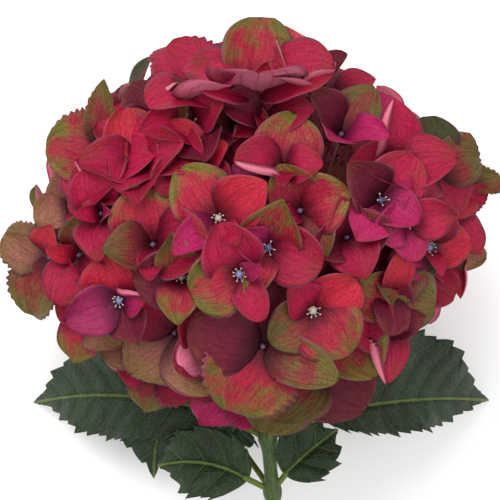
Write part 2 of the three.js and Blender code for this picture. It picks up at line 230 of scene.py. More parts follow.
def stalk_piece():
    """A tube along the stalk's line. Its radius swells by a bell curve at each leaf node, and carries
    shallow ridges by a cosine of the angle. The last rings shrink on the spot to close the cut."""
    steps = np.linspace(0, STALK_LENGTH, STALK_RINGS)
    path = stalk_point(steps)
    along = unit(np.gradient(path, axis=0))
    swell = sum(NODE_SWELL * np.exp(-(((steps - at) / NODE_LENGTH) ** 2)) for at in LEAF_NODES)
    groove = sum(NODE_GROOVE * np.exp(-(((steps - at) / GROOVE_LENGTH) ** 2)) for at in LEAF_NODES)
    radius = STALK_RADIUS * (1 - STALK_TAPER + STALK_TAPER * steps / STALK_LENGTH + swell - groove)
    turn = np.linspace(0, 2 * np.pi, STALK_SIDES, endpoint=False)
    twist = RIDGE_TWIST * steps[:, None] / STALK_LENGTH
    radius = radius[:, None] * (1 + RIDGE_DEPTH * np.cos(RIDGES * turn + twist))
    shrink = np.array(CUT_RINGS)[:, None]
    path = np.concatenate([path, np.repeat(path[-1:], len(shrink), axis=0)])
    along = np.concatenate([along, np.repeat(along[-1:], len(shrink), axis=0)])
    radius = np.concatenate([radius, radius[-1] * shrink])
    points, faces = tube(path, radius, STALK_SIDES, along)
    ring_of = np.append(np.repeat(np.arange(len(path)), STALK_SIDES), [0, len(path) - 1])
    marks = {"cut": (ring_of >= STALK_RINGS).astype(float),
             "pith": (ring_of >= len(path) - PITH_RINGS).astype(float)}
    piece = surface("stalk_bark", points, faces, stalk_material(), marks)
    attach(piece, "root")
    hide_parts("stalk")


stalk_piece()

# ---- The rays ----
# The stalk's top divides into smooth pink-brown branches that spread inside the head like umbrella ribs.
# Each grows from a slight collar and thins towards the cymes that it carries.
RAY_COUNT = 7
RAY_RADIUS = 1.7 * MM
RAY_ROOT_RING = 2.6
RAY_SPREAD = 0.4 * HALF_HEAD
RAY_REACH = 0.28 * HALF_HEAD
RAY_SAG = 0.03 * HALF_HEAD
# The thickness at the root, the collar round it and the taper are in shares of the radius.
RAY_ROOT = 0.92
RAY_COLLAR = 0.22
COLLAR_LENGTH = 0.07
RAY_TAPER = 0.14
RAY_RINGS = 26
RAY_SIDES = 12
TOUCH_GAP = 0.34 * MM


def ray_line(k):
    """Root, bend and end of ray k. The first runs straight on; the others lean out on a circle round it
    at even angles, and bend by a sag from halfway."""
    turn = 2 * math.pi * k / RAY_COUNT
    spread = np.array([math.cos(turn), 0, math.sin(turn)]) * (k > 0)
    root = CROWN + spread * RAY_RADIUS * RAY_ROOT_RING + [0, RAY_RADIUS + TOUCH_GAP, 0]
    end = CROWN + spread * RAY_SPREAD + [0, RAY_REACH if k else MIDDLE_RAY_REACH, 0]
    bend = (root + end) / 2 - [0, RAY_SAG, 0]
    return np.array([root, bend, end])


def bezier(a, b, c, t):
    """A curve from a to c drawn towards b: the three weighted by the squares and the doubled product of
    1 - t and t."""
    t = np.asarray(t)[:, None]
    return a * (1 - t) ** 2 + b * 2 * t * (1 - t) + c * t * t


def stem_material():
    """Young wood: pink-brown, greener in blotches, with a soft shine."""
    material, shader = new_material("young_wood", 0.5, 0.4)
    tree = material.node_tree
    blotches = noise(tree, 140.0, 3.0)
    fine = noise(tree, 1400.0, 3.0)
    colour = mixed(tree, fade(tree, blotches, 0.42, 0.66), rgb(150, 62, 78), rgb(128, 112, 62))
    colour = mixed(tree, calc(tree, "MULTIPLY", fine, 0.35), colour, rgb(96, 34, 46))
    tree.links.new(colour, shader.inputs["Base Color"])
    relief(tree, shader, fine, 0.35, 0.0003)
    return material


young_wood = stem_material()
for k in range(RAY_COUNT):
    t = np.linspace(0, 1, RAY_RINGS)
    line = bezier(*ray_line(k), t) + HEAD
    collar = RAY_COLLAR * np.exp(-((t / COLLAR_LENGTH) ** 2))
    thickness = RAY_RADIUS * (RAY_ROOT + collar - RAY_TAPER * t)
    points, faces = tube(line, thickness, RAY_SIDES)
    piece = surface(f"ray_{k + 1}_wood", points, faces, young_wood)
    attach(piece, "root")
    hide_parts(f"ray_{k + 1}")

# ---- The leaves ----
# Thick dark green blades in opposite pairs, toothed along the margin and quilted between sunken veins.
# Each grows on a grooved petiole that clasps the stalk at its node.
LEAF_THICKNESS = 0.45 * MM
PETIOLE_RADIUS = 1.6 * MM
VEIN_SPACING = 10.0 * MM
VEIN_SLANT = 0.5
VEIN_SWEEP = 14.0
TOOTH_SPACING = 5.6 * MM
TOOTH_DEPTH = 2.6 * MM
TEETH_END = 0.97
QUILT = 1.6 * MM
# The outline is the product of powers of the way from the base and of the way to the tip.
OUTLINE_POWERS = (0.62, 0.8)
# The long point: where it starts and its length along the blade, and what it takes from the width.
TIP_START, TIP_LENGTH, TIP_NARROWING = 0.68, 0.24, 0.62
MARGIN_WAVE = 0.11
WAVES_ALONG = 2.7
MIDRIB_SINK = 1.0 * MM
MIDRIB_RIB = 0.7 * MM
MIDRIB_WIDTH = 0.8 * MM
TIP_HEIGHT = 1.2 * MM
PETIOLE_SAG = 1.5 * MM
PETIOLE_END = 0.06
CLASP_SWELL, CLASP_LENGTH = 0.5, 0.12
PETIOLE_RINGS, PETIOLE_SIDES = 24, 12
LEAF_ROWS, LEAF_COLUMNS = 191, 31
# A row for each leaf: its name, its node on the stalk, its base, bend and tip from that node in mm, its
# half widths in mm to the right and to the left of the midrib as seen from the base, the rise of its
# margins, whether its tip rests on the table, and the colour of its blade.
LEAVES = (
    ("leaf_left", 0, (-21, 10, -4), (-62, 22, -2), (-98, 12, 0), (23, 17), 0.1, True, (32, 52, 28)),
    ("leaf_right", 0, (21, 9, -4), (58, 18, -2), (93, 13, 0), (12, 28), 0.1, True, (28, 46, 26)),
    ("leaf_left_lower", 1, (-17, 26, -16), (-50, 44, -18), (-49, 3, -38), (23, 17), 0.1, False, (32, 50, 28)),
    ("leaf_left_curled", 1, (-10, 5, 4), (-27, 16, 10), (-47, 10, -6), (14, 13), 0.35, False, (34, 54, 28)),
    ("leaf_right_lower", 1, (5, 7, 4), (13, 16, 8), (27, 25, -6), (11, 12), 0.3, False, (30, 52, 28)),
    ("leaf_under_head", 0, (-8, 9, -2), (-16, 6, -4), (-15, -8, -12), (10, 10), 0.2, False, (34, 60, 30)),
)


def blade_faces(rows, columns):
    """Faces of a closed blade: an upper and a lower skin that share their margins and both end points.
    The points run in blade_order."""
    inner = rows - 2
    tip = 1 + inner * columns
    upper = 1 + np.arange(inner * columns).reshape(inner, columns)
    lower = upper.copy()
    lower[:, 1:-1] = tip + 1 + np.arange(inner * (columns - 2)).reshape(inner, columns - 2)
    quads, tris = [], []
    for skin, turned in ((upper, False), (lower, True)):
        wall = np.stack([skin[:-1, :-1], skin[1:, :-1], skin[1:, 1:], skin[:-1, 1:]], -1).reshape(-1, 4)
        foot = np.stack([np.zeros(columns - 1, int), skin[0, :-1], skin[0, 1:]], -1)
        head = np.stack([skin[-1, :-1], np.full(columns - 1, tip), skin[-1, 1:]], -1)
        quads.append(wall[:, ::-1] if turned else wall)
        tris.append(np.concatenate([foot, head])[:, ::-1] if turned else np.concatenate([foot, head]))
    return np.concatenate(quads), np.concatenate(tris)


def blade_order(upper, lower):
    """The points of two grids, or their values, in the order of a blade: its base, the upper rows, its
    tip, then the lower rows without their margins."""
    middle = upper.shape[1] // 2
    width = upper.shape[2:]
    return np.concatenate([
        upper[:1, middle], upper[1:-1].reshape(-1, *width), upper[-1:, middle],
        lower[1:-1, 1:-1].reshape(-1, *width)])


def side_vein_steps(travelled, across):
    """How many side veins lie before a place: the way travelled along the midrib, less a slant and a
    forward sweep by the way across and its square, in vein spacings."""
    return (travelled - VEIN_SLANT * across - VEIN_SWEEP * across * across) / VEIN_SPACING


def leaf_material(name, green):
    """Dark green, a little paler along the sunken midrib and side veins, with a fine net between."""
    material, shader = new_material(name, 0.42, 0.28)
    tree = material.node_tree
    steps = mark_of(tree, "steps")
    across = mark_of(tree, "across")
    from_vein = calc(tree, "MULTIPLY", calc(tree, "PINGPONG", steps, 0.5), VEIN_SPACING)
    side_vein = fade(tree, from_vein, 0.05 * MM, 0.5 * MM, 1.0, 0.0)
    midrib = fade(tree, across, 0.3 * MM, 0.9 * MM, 1.0, 0.0)
    place = node(tree, "ShaderNodeTexCoord").outputs["Object"]
    cells = node(tree, "ShaderNodeTexVoronoi", {"Vector": place, "Scale": 480.0}, feature="DISTANCE_TO_EDGE")
    net = fade(tree, cells.outputs["Distance"], 0.0, 0.16, 1.0, 0.0)
    patches = noise(tree, 70.0, 4.0, place)
    fine = noise(tree, 1500.0, 3.0, place)
    deep = mixed(tree, fade(tree, patches, 0.35, 0.65), rgb(*green), rgb(*green) * 0.55)
    colour = mixed(tree, calc(tree, "MULTIPLY", net, 0.3), deep, rgb(66, 84, 52))
    colour = mixed(tree, calc(tree, "MULTIPLY", side_vein, 0.45), colour, rgb(98, 116, 66))
    colour = mixed(tree, calc(tree, "MULTIPLY", midrib, 0.6), colour, rgb(118, 136, 72))
    colour = mixed(tree, calc(tree, "MULTIPLY", mark_of(tree, "back"), 0.7), colour, rgb(104, 122, 82))
    colour = mixed(tree, mark_of(tree, "petiole"), colour, rgb(96, 112, 42))
    tree.links.new(colour, shader.inputs["Base Color"])
    sunk = calc(tree, "ADD", calc(tree, "MAXIMUM", side_vein, midrib), calc(tree, "MULTIPLY", net, 0.45))
    relief(tree, shader, calc(tree, "SUBTRACT", fine, sunk), 0.6, 0.0007)
    return material


def leaf_piece(name, stalk_node, base, bend, tip, halves, rise, rests, green):
    """A blade on a grid of u across and v along. The midrib is a curve from base to tip. The half width
    is a power of v times a power of 1 - v, drawn in to a long point near the tip, with forward teeth by a
    sawtooth of v. The blade bulges between side veins by a sine of the vein steps, sinks along the midrib
    by a bell curve, and its margins wave by a sine of v. The petiole is a curve that sags."""
    v = np.linspace(0, 1, LEAF_ROWS)
    u = np.linspace(-1, 1, LEAF_COLUMNS)
    root = stalk_point(LEAF_NODES[stalk_node])
    start, over, end = (root + np.array(p) * MM for p in (base, bend, tip))
    if rests:
        end[2] = TIP_HEIGHT
    midrib = bezier(start, over, end, v)
    along = unit(np.gradient(midrib, axis=0))
    side = unit(np.stack([-along[:, 1], along[:, 0], np.zeros(LEAF_ROWS)], axis=-1))
    up = np.cross(along, side)
    length = np.linalg.norm(np.diff(midrib, axis=0), axis=1).sum()
    from_base, to_tip = OUTLINE_POWERS
    point = np.clip((v - TIP_START) / TIP_LENGTH, 0, 1) ** 1.5
    envelope = v**from_base * (1 - v) ** to_tip * (1 - TIP_NARROWING * point)
    envelope = envelope / envelope.max()
    teeth = round(length / TOOTH_SPACING)
    saw = (v * teeth) % 1.0
    uneven = 0.75 + 0.35 * np.sin(2.3 * np.floor(v * teeth))
    bite = TOOTH_DEPTH * saw * uneven * np.minimum(1, 2.5 * envelope) * (v < TEETH_END)
    half = np.where(u < 0, halves[0], halves[1])[None] * MM * envelope[:, None] + bite[:, None]
    across = np.abs(u)[None] * half
    travelled = v[:, None] * length
    steps = side_vein_steps(travelled, across)
    quilt = np.abs(np.sin(np.pi * steps)) ** 0.8
    height = across * rise
    height = height + QUILT * quilt * np.sin(np.pi * np.abs(u) ** 0.7) ** 0.6 * envelope[:, None]
    height -= MIDRIB_SINK * np.exp(-((across / MIDRIB_SINK) ** 2)) * envelope[:, None]
    wave = np.sin(2 * np.pi * (WAVES_ALONG * v[:, None] + 0.2 * np.sign(u) + stalk_node * 0.4))
    height += MARGIN_WAVE * max(halves) * MM * u**2 * wave * envelope[:, None]
    skin = midrib[:, None] + side[:, None] * (u[None] * half)[..., None] + up[:, None] * height[..., None]
    skin = skin + along[:, None] * (bite[:, None] * 0.9 * np.abs(u) ** 5)[..., None]
    depth = LEAF_THICKNESS * np.sqrt(1 - u**2)[None] * np.minimum(1, 8 * envelope)[:, None]
    depth = depth + MIDRIB_RIB * np.exp(-((across / MIDRIB_WIDTH) ** 2)) * envelope[:, None]
    below = skin - up[:, None] * depth[..., None]
    quads, tris = blade_faces(LEAF_ROWS, LEAF_COLUMNS)
    points = blade_order(skin, below)
    zero = 0 * across
    marks = {
        "across": blade_order(across, across),
        "steps": blade_order(steps, steps),
        "back": blade_order(zero, zero + 1),
        "petiole": blade_order(zero, zero),
    }
    t = np.linspace(0, 1, PETIOLE_RINGS)
    inside = midrib[int(PETIOLE_END * LEAF_ROWS)]
    sag = (root + inside) / 2 - [0, 0, PETIOLE_SAG]
    petiole = bezier(root, sag, inside, t)
    clasp = CLASP_SWELL * np.exp(-((t / CLASP_LENGTH) ** 2))
    radius = PETIOLE_RADIUS * (0.75 + clasp + 0.05 * t)
    rod, rod_faces = tube(petiole, radius, PETIOLE_SIDES)
    faces = [quads, tris] + [part + len(points) for part in rod_faces]
    rod_marks = {"across": HALF_HEAD, "steps": 0.5, "back": 0.0, "petiole": 1.0}
    marks = {key: np.append(values, np.full(len(rod), rod_marks[key])) for key, values in marks.items()}
    piece = surface(f"{name}_blade", np.concatenate([points, rod]), faces, leaf_material(name, green), marks)
    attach(piece, "root")
    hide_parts(name)


for leaf in LEAVES:
    leaf_piece(*leaf)

# ---- The sepals ----
# Four broad, papery sepals make each floret, two outer and two inner, crossed. Late in the season they
# turn from crimson to green and olive from the tips, keep dark red veins, and are paler underneath.
# Neighbouring florets grow from one branchlet, and together they are a cyme.
SEPAL_THICKNESS = 0.32 * MM
REST_GAP = 0.45 * MM
TABLE_GAP = 0.15 * MM
# The florets stand on a rounded shell, whose sizes and spacings are in shares of the head's half width.
# Those that face up are placed one by one. A spiral fills the sides, the back and the underside.
SHELL = np.array([0.9, 0.77, 0.7])
FACING_TILT = 0.6
FILL_SHELL = np.array([0.7, 0.57, 0.7])
FILL_COUNT = 84
FILL_SPACING = 0.22
FILL_REACH = 22
FILL_CUP = 16
FILL_SPIN = 137.5
FILL_TINTS = "cccmmrrgodtk"
FILL_SEED = 11
STALK_OPENING = -0.86
PRESSED_BELOW = -0.78
PRESSED_CUP = 6
CYME_SPREAD = 0.46
CYME_SIZE = 4
# A row for each floret that faces up: x, y and lift in hundredths of the half width, lean in x and y, spin
# of the first sepal in degrees, reach in mm and cup in degrees. Then come a letter for the tint and one for
# the fold of each sepal, counted leftward from the first, and one for the eye.
# Tints: c crimson, r orange-red, m magenta, p purple, d maroon, g green-tipped, o olive, k dark olive and
# t tan, and a capital has a toothed margin. Folds: f and h one margin rolled in, p the same but small,
# u raised, v upright, q turned right over, n narrow, w wide, s small, x tiny, l long and . plain.
# Eyes: b lavender, w cream and k dark are open, and . is shut.
FACING = (
    (-17, 49, 2, 0.0, 0.7, 112, 24, 15, "Ccmc", "l.v.", "."),
    (-19, 58, -10, 0.0, 0.5, 112, 19, 12, "CCdd", "....", "."),
    (2, 51, 5, 0.0, 0.7, 88, 29, 18, "gcmc", "..v.", "."),
    (11, 63, -10, 0.0, 0.5, 78, 20, 12, "Rccc", "....", "."),
    (21, 50, 2, 0.1, 0.7, 115, 19, 28, "gccd", "n.vn", "."),
    (33, 50, -8, 0.1, 0.6, 95, 15, 20, "dcmc", "..u.", "."),
    (6, 41, 0, 0.0, 0.1, 80, 18, 25, "rdcc", "..x.", "."),
    (-5, 38, -8, 0.0, 0.3, 60, 15, 30, "oodc", "....", "."),
    (13, 22, 5, 0.0, 0.1, 84, 20, 18, "gccc", "wfxs", "."),
    (-22, 37, 0, -0.05, 0.2, 112, 19, 25, "dcdc", "...s", "k"),
    (-36, 42, -14, -0.1, 0.3, 130, 16, 20, "dddc", "....", "."),
    (-42, 22, -2, -0.05, 0.3, 105, 21, 30, "rccc", "....", "."),
    (-37, 26, -8, 0.0, 0.4, 68, 24, 30, "Tccc", "f...", "."),
    (-20, 22, -3, 0.0, 0.0, 125, 19, 20, "rccr", "...s", "."),
    (-56, 28, 0, -0.05, 0.1, 168, 24, 15, "GccO", "w..n", "."),
    (-57, 4, 5, 0.1, 0.0, 97, 18, 30, "cccm", "wx.x", "."),
    (-70, 7, -6, 0.1, 0.0, 110, 13, 25, "ttcr", "..s.", "."),
    (-78, -13, 2, 0.1, 0.0, 165, 21, 10, "TOcr", ".l.s", "."),
    (-66, -12, 0, 0.1, 0.0, 245, 19, 20, "ccor", "...x", "."),
    (-62, -36, 0, 0.0, 0.2, 240, 18, 20, "gtcc", "...s", "."),
    (-29, -42, -4, 0.0, 0.3, 225, 24, 0, "ttcc", "wl..", "."),
    (-42, -42, -8, 0.0, 0.3, 205, 20, 5, "tTcc", "w...", "."),
    (-36, -57, -12, 0.0, 0.3, 240, 18, 10, "OCcc", "....", "."),
    (-50, -29, 6, 0.0, 0.0, 108, 19, 16, "rpdm", "w..p", "b"),
    (-46, -9, -1, 0.0, 0.0, 95, 13, 30, "cccd", "h.xx", "."),
    (-26, -20, 8, 0.0, 0.0, 182, 17, 20, "dgdo", "w...", "w"),
    (-37, -8, 3, 0.0, 0.1, 95, 24, 18, "gocc", "wsx.", "."),
    (-12, 2, 5, 0.0, 0.1, 128, 23, 14, "gmcr", ".nx.", "w"),
    (-4, -19, 10, 0.0, 0.0, 112, 20, 16, "cgcm", "wwnx", "b"),
    (7, -9, 5, 0.0, 0.0, 70, 20, 20, "gmgc", "wsn.", "k"),
    (19, 5, 1, 0.0, 0.0, 115, 20, 20, "gcog", ".x.w", "."),
    (8, 18, -5, 0.0, 0.0, 80, 15, 15, "pppm", "....", "."),
    (24, -33, 5, 0.0, 0.1, 38, 21, 15, "rcog", "ws.w", "w"),
    (35, -40, -6, 0.0, 0.2, 300, 22, 10, "gcco", "w...", "."),
    (50, 9, 5, 0.0, 0.0, 55, 20, 20, "cdmm", "l..s", "k"),
    (68, 16, -6, 0.0, 0.0, 60, 13, 15, "mccm", "....", "."),
    (60, 1, 8, 0.0, 0.0, 100, 16, 14, "pmmc", "x...", "b"),
    (69, -9, 1, 0.0, 0.0, 5, 19, 12, "rcmc", "...x", "b"),
    (78, 4, -2, 0.0, 0.0, 24, 18, 10, "Crrc", "n.s.", "."),
    (72, 21, 4, -0.1, 0.0, 112, 20, 12, "kcco", "w...", "."),
    (79, 19, -2, -0.1, 0.0, 62, 19, 12, "OcrO", ".x.n", "."),
    (54, 21, 0, 0.0, 0.2, 90, 22, 25, "ccmc", "f.x.", "."),
    (35, 34, 2, 0.0, 0.4, 60, 18, 32, "odmm", "..u.", "."),
    (37, -5, 1, 0.0, 0.0, 20, 17, 20, "dcdc", "...w", "."),
    (56, -12, -6, 0.0, 0.0, 0, 19, 12, "kcco", "....", "."),
    (54, -27, 0, 0.0, 0.0, 350, 20, 15, "orgd", "wn.s", "."),
    (78, -12, -8, 0.0, 0.0, 280, 17, 15, "rtcc", "fs..", "."),
    (50, -39, -2, 0.0, 0.3, 280, 22, 15, "cddc", "hs.s", "."),
    (24, -54, -8, 0.0, 0.4, 318, 27, 8, "dcco", "w...", "."),
    (14, -60, -10, 0.0, 0.4, 255, 24, 8, "odcc", "w...", "."),
    (5, -47, 6, 0.0, 0.3, 248, 29, 8, "Godd", "wn..", "."),
    (-8, -64, -12, 0.0, 0.3, 235, 18, 12, "MMcc", "....", "."),
    (-14, -45, -2, 0.0, 0.2, 35, 18, 20, "mccc", "q...", "."),
    (46, 36, -14, 0.1, 0.2, 60, 16, 20, "mmcc", "....", "."),
    (4, 24, -12, 0.0, 0.0, 20, 16, 20, "ccdc", "....", "."),
    (-30, 9, -10, 0.0, 0.0, 60, 16, 20, "cdco", "....", "."),
    (28, -21, -9, 0.0, 0.0, 60, 16, 20, "dccc", "....", "."),
    (64, -20, -14, 0.0, 0.0, 60, 16, 20, "ccdc", "....", "."),
    (-56, 16, -2, 0.0, 0.1, 55, 17, 22, "rmcc", ".p..", "."),
)


def shell_height(x, y):
    """Height of the shell over a place: its half height times the root of one less the squares of x and
    y in shares of its half widths."""
    inside = 1 - (x / SHELL[0]) ** 2 - (y / SHELL[1]) ** 2
    return SHELL[2] * math.sqrt(max(inside, 0.03))


def floret(place, lift, lean, spin, reach, cup, tints, folds, eye, tilt_share=1.0):
    """A floret's centre, axis and first sepal's direction. Its axis is the shell's normal with its level
    part cut to a share, then leant over. The first sepal's direction is the spin's, made square to it."""
    upright = np.array([tilt_share, tilt_share, 1.0])
    axis = unit(place / SHELL**2 * upright + [lean[0], lean[1], 0])
    turn = math.radians(spin)
    first = np.array([math.cos(turn), math.sin(turn), 0])
    first = unit(first - axis * (first @ axis))
    place = place + [0, 0, lift / 100]
    return {"place": place, "centre": place * HALF_HEAD, "axis": axis, "first": first,
            "reach": reach * MM, "cup": cup, "tints": tints, "folds": folds, "eye": eye}


def settle(one):
    """Lifts a floret until its lowest sepal tip rests on the table: the tip hangs by the reach times the
    steepness of the two sepal directions, less what the cup raises it."""
    second = np.cross(one["axis"], one["first"])
    slope = math.tan(math.radians(one["cup"]))
    hang = math.hypot(one["first"][2], second[2]) - one["axis"][2] * slope
    sunk = one["reach"] * hang + REST_GAP
    one["centre"][2] = max(one["centre"][2], sunk - HEAD[2])


def filling_florets(taken):
    """Florets on a golden-angle spiral over a ball, shrunk to the filling shell, wherever the facing ones
    and the stalk leave room. The lowest lie pressed flat against the table."""
    golden = math.pi * (3 - math.sqrt(5))
    draw = np.random.default_rng(FILL_SEED)
    found = []
    for i in range(FILL_COUNT):
        z = 1 - (2 * i + 1) / FILL_COUNT
        ring = math.sqrt(1 - z * z)
        on_ball = np.array([ring * math.cos(golden * i), ring * math.sin(golden * i), z])
        at = on_ball * FILL_SHELL
        crowded = any(np.linalg.norm(one["place"] - at) < FILL_SPACING for one in taken)
        if crowded or on_ball[1] < STALK_OPENING:
            continue
        tints = "".join(draw.choice(list(FILL_TINTS), 4))
        folds = "wwww" if z < 0 else "...."
        pressed = z < PRESSED_BELOW
        cup = PRESSED_CUP if pressed else FILL_CUP
        made = floret(at, 0, (0, 0), FILL_SPIN * i, FILL_REACH, cup, tints, folds, ".")
        if pressed:
            made["axis"] = np.array([0.0, 0.0, -1.0])
            made["first"] = np.array([math.cos(i), math.sin(i), 0.0])
        settle(made)
        found.append(made)
    return found


def gathered(florets):
    """Florets gathered into cymes: the first free one takes those that are nearest to all it has, until
    it is full or the next one is too far off."""
    free = list(florets)
    cymes = []
    while free:
        cyme = [free.pop(0)]
        while len(cyme) < CYME_SIZE and free:
            far = [max(np.linalg.norm(own["place"] - one["place"]) for own in cyme) for one in free]
            nearest = int(np.argmin(far))
            if far[nearest] > CYME_SPREAD:
                break
            cyme.append(free.pop(nearest))
        cymes.append(cyme)
    return cymes


facing = []
for x, y, lift, lean_x, lean_y, spin, reach, cup, tints, folds, eye in FACING:
    place = np.array([x / 100, y / 100, shell_height(x / 100, y / 100)])
    facing.append(floret(place, lift, (lean_x, lean_y), spin, reach, cup, tints, folds, eye, FACING_TILT))
cymes = gathered(facing + filling_florets(facing))

# Each floret has to stand in its cyme's packed box, give or take this.
BOX_SLACK = 3 * MM
for number, cyme in enumerate(cymes, 1):
    low, high = (np.array(corner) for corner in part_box(f"cyme_{number:02d}"))
    for one in cyme:
        at = one["centre"] + HEAD
        if (at < low - BOX_SLACK).any() or (at > high + BOX_SLACK).any():
            raise ValueError(f"a floret of cyme_{number:02d} isn't where the packed model has it")

# By tint letter: body colour, rim colour, and how far the rim colour spreads in.
TINTS = {
    "c": ((170, 22, 64), (140, 40, 46), 0.34),
    "r": ((192, 36, 62), (172, 56, 52), 0.34),
    "m": ((176, 34, 92), (156, 34, 64), 0.25),
    "p": ((150, 36, 86), (150, 34, 74), 0.2),
    "d": ((108, 16, 46), (112, 44, 40), 0.38),
    "g": ((168, 30, 58), (106, 106, 40), 0.5),
    "o": ((140, 42, 50), (100, 92, 42), 0.66),
    "k": ((92, 34, 42), (62, 68, 38), 0.74),
    "t": ((168, 106, 90), (134, 104, 62), 0.55),
}


def sepal_material():
    """Satin petal skin: the body colour turns to the rim colour towards the tip by distance and noise, and
    to a painted shade of dark purple at the claw, deep in the floret. It streaks along its length,
    carries a painted highlight along the margin, and pales underneath."""
    material, shader = new_material("sepal_skin", 0.5, 0.16)
    tree = material.node_tree
    signed = mark_of(tree, "across")
    u = calc(tree, "ABSOLUTE", signed)
    v = mark_of(tree, "along")
    back = mark_of(tree, "back")
    body = mark_of(tree, "body", True)
    rim = mark_of(tree, "rim", True)
    spread = mark_of(tree, "spread")
    place = node(tree, "ShaderNodeTexCoord").outputs["Object"]
    broad = noise(tree, 130.0, 4.0, place)
    fine = noise(tree, 1000.0, 5.0, place)
    warp = noise(tree, 260.0, 2.0, place)
    fan = node(tree, "ShaderNodeCombineXYZ", {0: calc(tree, "MULTIPLY", signed, 5.0), 1: v, 2: spread})
    streaks = noise(tree, 3.0, 5.0, fan.outputs[0])
    outward = calc(tree, "ADD", calc(tree, "MULTIPLY", v, 0.8),
                   calc(tree, "MULTIPLY", calc(tree, "POWER", u, 2.0), 0.36))
    outward = calc(tree, "ADD", outward, calc(tree, "MULTIPLY", calc(tree, "SUBTRACT", broad, 0.5), 1.5))
    outward = calc(tree, "ADD", outward, calc(tree, "MULTIPLY", calc(tree, "SUBTRACT", streaks, 0.5), 0.4))
    bent = calc(tree, "ADD", calc(tree, "MULTIPLY", u, 3.2),
                calc(tree, "MULTIPLY", calc(tree, "SUBTRACT", warp, 0.5), 0.9))
    main_vein = fade(tree, calc(tree, "PINGPONG", bent, 0.5), 0.0, 0.12, 1.0, 0.0)
    cells = node(tree, "ShaderNodeTexVoronoi", {"Vector": place, "Scale": 640.0}, feature="DISTANCE_TO_EDGE")
    net = fade(tree, cells.outputs["Distance"], 0.0, 0.12, 1.0, 0.0)
    veins = calc(tree, "MAXIMUM", calc(tree, "MULTIPLY", main_vein, 0.3), calc(tree, "MULTIPLY", net, 0.18))
    reached = calc(tree, "SUBTRACT", calc(tree, "ADD", outward, spread), calc(tree, "MULTIPLY", veins, 0.3))
    colour = mixed(tree, fade(tree, reached, 0.8, 1.5), body, rim)
    # Painted shade: the colour darkens to dark purple towards the claw, deep in the floret's funnel.
    painted_claw_shade = mixed(tree, 1.0, body, rgb(92, 44, 112), "MULTIPLY")
    colour = mixed(tree, fade(tree, v, 0.02, 0.5, 0.92, 0.0), colour, painted_claw_shade)
    vein_colour = mixed(tree, 1.0, body, rgb(176, 120, 140), "MULTIPLY")
    colour = mixed(tree, veins, colour, vein_colour)
    shade = calc(tree, "ADD", calc(tree, "MULTIPLY", fine, 0.45), calc(tree, "MULTIPLY", streaks, 0.55))
    mottle = mixed(tree, fade(tree, shade, 0.25, 0.72), rgb(172, 160, 168), rgb(255, 255, 255))
    colour = mixed(tree, 1.0, colour, mottle, "MULTIPLY")
    # Painted highlight: the colour pales to pink along the margin, where the edge of the sheet catches the
    # light.
    colour = mixed(tree, fade(tree, u, 0.88, 1.0, 0.0, 0.45), colour, rgb(158, 84, 112))
    pale = mixed(tree, 0.62, colour, rgb(226, 132, 152))
    pale = mixed(tree, calc(tree, "MULTIPLY", main_vein, 0.7), pale, rgb(164, 60, 92))
    colour = mixed(tree, back, colour, pale)
    tree.links.new(colour, shader.inputs["Base Color"])
    relief(tree, shader, calc(tree, "SUBTRACT", calc(tree, "ADD", fine, streaks), veins), 0.45, 0.0006)
    return material


# The outline is the product of powers of the way from the claw and of the way to the tip.
CLAW_POWER = 0.55
TIP_POWERS = (0.56, 0.94)
CLAW_START = 0.6 * MM
TEETH, TOOTH_SHARE = 11, 0.15
# A rolled margin turns between these shares of the half width.
ROLL = (0.45, 0.8)
FOLD_DEPTH, FOLD_WIDTH = 0.03, 0.14


def step_up(x, low, high):
    """0 below low, 1 above high, a smooth cubic between."""
    t = np.clip((x - low) / (high - low), 0, 1)
    return t * t * (3 - 2 * t)


